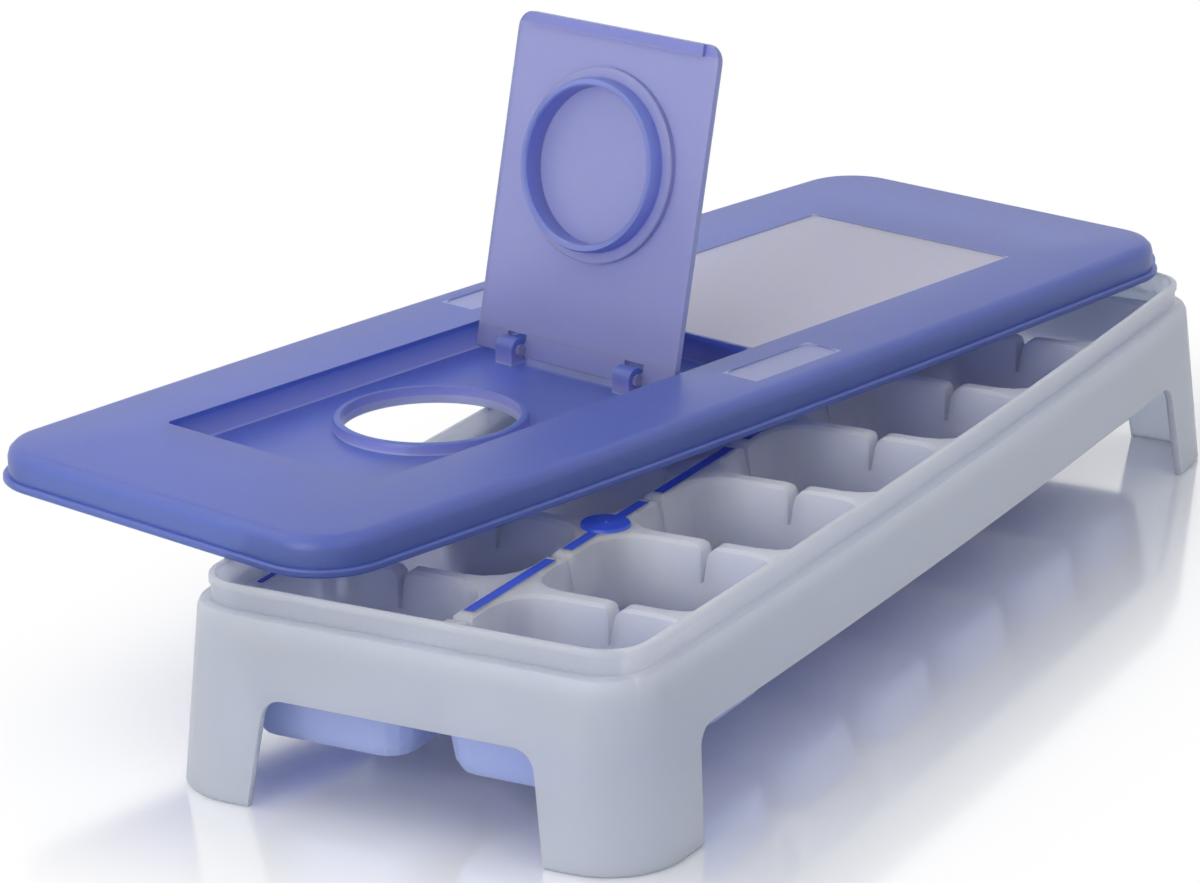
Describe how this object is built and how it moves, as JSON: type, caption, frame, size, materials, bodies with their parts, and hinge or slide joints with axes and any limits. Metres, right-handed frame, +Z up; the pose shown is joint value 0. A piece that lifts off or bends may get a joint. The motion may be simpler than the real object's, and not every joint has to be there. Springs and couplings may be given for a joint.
{
  "type": "ice_cube_tray",
  "caption": "Footed ice cube tray with soft-bottomed cells, a lift-off lid and a hinged filling flap.",
  "frame": {"origin": "Middle of the tray on the plane its four feet stand on.", "axes": "X along the tray, towards the lid's pull tab; Y across it; Z up."},
  "size_m": [0.3219, 0.1799, 0.1252],
  "materials": {
    "frosted_plastic": "frosted, translucent",
    "soft_plastic": "satin, translucent",
    "soft_channel": "satin",
    "lid_plastic": "fine matt, translucent",
    "flap_plastic": "fine matt, translucent"
  },
  "bodies": {
    "tray": {"tray_body": "frosted_plastic", "soft_bottom_rear_1": "soft_plastic", "soft_bottom_rear_2": "soft_plastic", "soft_bottom_rear_3": "soft_plastic", "soft_bottom_rear_4": "soft_plastic", "soft_bottom_rear_5": "soft_plastic", "soft_bottom_rear_6": "soft_plastic", "soft_bottom_rear_7": "soft_plastic", "soft_bottom_front_1": "soft_plastic", "soft_bottom_front_2": "soft_plastic", "soft_bottom_front_3": "soft_plastic", "soft_bottom_front_4": "soft_plastic", "soft_bottom_front_5": "soft_plastic", "soft_bottom_front_6": "soft_plastic", "soft_bottom_front_7": "soft_plastic", "runner_1": "soft_channel", "runner_2": "soft_channel", "runner_3": "soft_channel", "runner_4": "soft_channel", "runner_5": "soft_channel", "runner_6": "soft_channel", "gate_left": "soft_channel", "gate_right": "soft_channel", "vent_front_left": "soft_channel", "vent_front_right": "soft_channel", "vent_rear_left": "soft_channel", "vent_rear_right": "soft_channel"},
    "lid": {"lid_shell": "lid_plastic"},
    "flap": {"fill_flap": "flap_plastic"}
  },
  "joints": [
    {"name": "lid_lift", "type": "slide", "parent": "tray", "child": "lid", "axis": [0, 0, 1], "range_m": [0, 0.12]},
    {"name": "flap_hinge", "type": "hinge", "parent": "lid", "child": "flap", "pos_m": [0.00101, 0.04326, 0.0502], "axis": [0.2306, 0.9731, 0], "range_deg": [-102.8, 60]}
  ]
}
